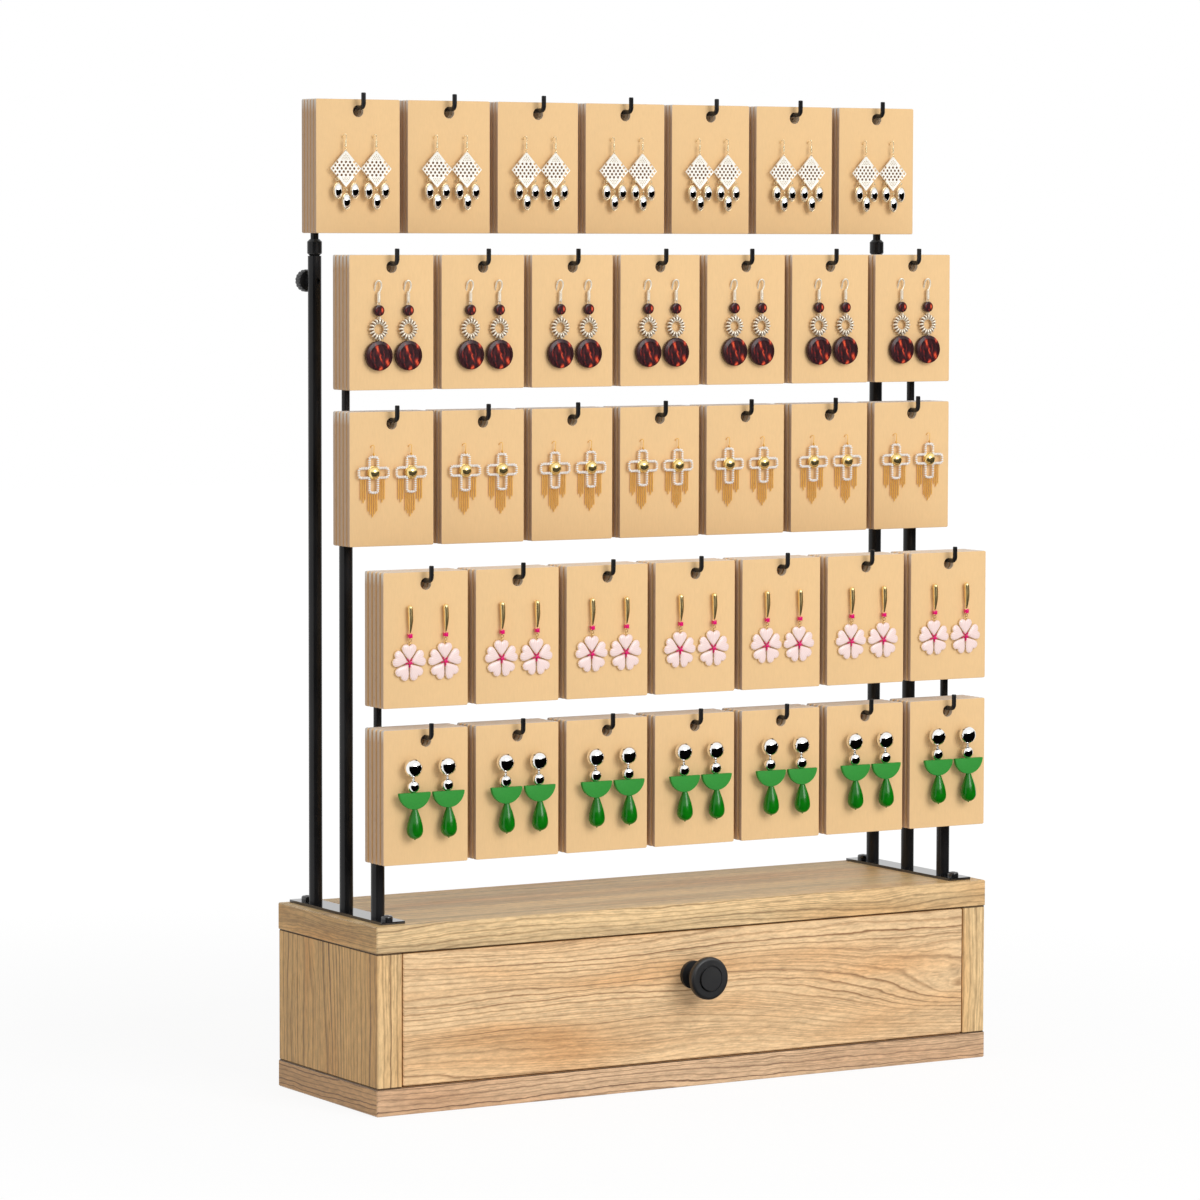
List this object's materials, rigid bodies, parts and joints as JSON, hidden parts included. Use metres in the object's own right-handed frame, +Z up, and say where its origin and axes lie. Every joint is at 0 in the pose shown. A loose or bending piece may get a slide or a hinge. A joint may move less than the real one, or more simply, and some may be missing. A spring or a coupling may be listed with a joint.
{
  "type": "earring display stand",
  "caption": "Free-standing earring display stand: oak drawer box, telescopic black posts and rows of hooks hung with earring cards.",
  "frame": {"origin": "middle of the box's underside, on the floor", "axes": "+X to the right seen from the drawer side, +Y to the back, +Z up"},
  "size_m": [0.4, 0.1376, 0.5535],
  "materials": {
    "oak_board": "light oak laminate, satin",
    "pale_wood": "plain pale wood",
    "black_metal": "satin black paint",
    "black_plate": "gloss black paint",
    "black_knob": "matte black paint",
    "dark_steel": "blackened steel",
    "kraft_card": "matte kraft board",
    "champagne_gold": "pale gold plate",
    "warm_gold": "warm gold plate",
    "mirror_silver": "mirror silver plate",
    "mottled_resin": "mottled dark red resin",
    "pearl_bead": "pearl white beads",
    "pink_enamel": "pale pink enamel",
    "green_resin": "green resin"
  },
  "bodies": {
    "base": {"top_board": "oak_board", "bottom_board": "oak_board", "left_side_panel": "oak_board", "right_side_panel": "oak_board", "back_panel": "oak_board", "panel_dowels": "pale_wood", "left_foot_plate": "black_plate", "right_foot_plate": "black_plate", "plate_screws": "dark_steel", "tube_collars": "black_metal", "rear_left_tube": "black_metal", "rear_right_tube": "black_metal", "middle_left_tube": "black_metal", "middle_right_tube": "black_metal", "front_left_tube": "black_metal", "front_right_tube": "black_metal"},
    "drawer": {"drawer_front": "oak_board", "drawer_left_wall": "pale_wood", "drawer_right_wall": "pale_wood", "drawer_rear_wall": "pale_wood", "drawer_bottom": "pale_wood", "drawer_knob": "black_knob", "knob_screw": "dark_steel"},
    "rear_frame": {"rear_left_rod": "black_metal", "rear_right_rod": "black_metal", "row_1_bar": "black_metal", "row_1_hooks": "black_metal", "row_1_cards": "kraft_card", "row_1_rhombs": "champagne_gold", "row_1_drops": "mirror_silver"},
    "middle_frame": {"middle_left_rod": "black_metal", "middle_right_rod": "black_metal", "row_2_bar": "black_metal", "row_2_hooks": "black_metal", "row_2_cards": "kraft_card", "row_2_rings": "champagne_gold", "row_2_discs": "mottled_resin", "row_3_bar": "black_metal", "row_3_hooks": "black_metal", "row_3_cards": "kraft_card", "row_3_crosses": "pearl_bead", "row_3_fringes": "warm_gold"},
    "front_frame": {"front_left_rod": "black_metal", "front_right_rod": "black_metal", "row_4_bar": "black_metal", "row_4_hooks": "black_metal", "row_4_cards": "kraft_card", "row_4_slim_bars": "warm_gold", "row_4_flowers": "pink_enamel", "row_5_bar": "black_metal", "row_5_hooks": "black_metal", "row_5_cards": "kraft_card", "row_5_balls": "mirror_silver", "row_5_drops": "green_resin"},
    "rear_left_thumb_screw": {"rear_left_thumb_screw": "black_knob"},
    "rear_right_thumb_screw": {"rear_right_thumb_screw": "black_knob"},
    "middle_left_thumb_screw": {"middle_left_thumb_screw": "black_knob"},
    "middle_right_thumb_screw": {"middle_right_thumb_screw": "black_knob"},
    "front_left_thumb_screw": {"front_left_thumb_screw": "black_knob"},
    "front_right_thumb_screw": {"front_right_thumb_screw": "black_knob"}
  },
  "joints": [
    {"name": "drawer_slide", "type": "slide", "parent": "base", "child": "drawer", "axis": [0, -1, 0], "range_m": [0, 0.08]},
    {"name": "rear_frame_height", "type": "slide", "parent": "base", "child": "rear_frame", "axis": [0, 0, 1], "range_m": [-0.06, 0.06]},
    {"name": "middle_frame_height", "type": "slide", "parent": "base", "child": "middle_frame", "axis": [0, 0, 1], "range_m": [-0.024, 0.05]},
    {"name": "front_frame_height", "type": "slide", "parent": "base", "child": "front_frame", "axis": [0, 0, 1], "range_m": [-0.018, 0.024]},
    {"name": "rear_left_thumb_turn", "type": "hinge", "parent": "base", "child": "rear_left_thumb_screw", "pos_m": [-0.1865, 0.0388, 0.4504], "axis": [0, 1, 0], "range_deg": [0, 360]},
    {"name": "rear_right_thumb_turn", "type": "hinge", "parent": "base", "child": "rear_right_thumb_screw", "pos_m": [0.1865, 0.0388, 0.4504], "axis": [0, 1, 0], "range_deg": [0, 360]},
    {"name": "middle_left_thumb_turn", "type": "hinge", "parent": "base", "child": "middle_left_thumb_screw", "pos_m": [-0.1865, 0.0023, 0.3214], "axis": [0.7071, 0.7071, 0], "range_deg": [0, 360]},
    {"name": "middle_right_thumb_turn", "type": "hinge", "parent": "base", "child": "middle_right_thumb_screw", "pos_m": [0.1865, 0.0023, 0.3214], "axis": [-0.7071, 0.7071, 0], "range_deg": [0, 360]},
    {"name": "front_left_thumb_turn", "type": "hinge", "parent": "base", "child": "front_left_thumb_screw", "pos_m": [-0.1865, -0.0342, 0.1564], "axis": [0.7071, 0.7071, 0], "range_deg": [0, 360]},
    {"name": "front_right_thumb_turn", "type": "hinge", "parent": "base", "child": "front_right_thumb_screw", "pos_m": [0.1865, -0.0342, 0.1564], "axis": [-0.7071, 0.7071, 0], "range_deg": [0, 360]}
  ]
}
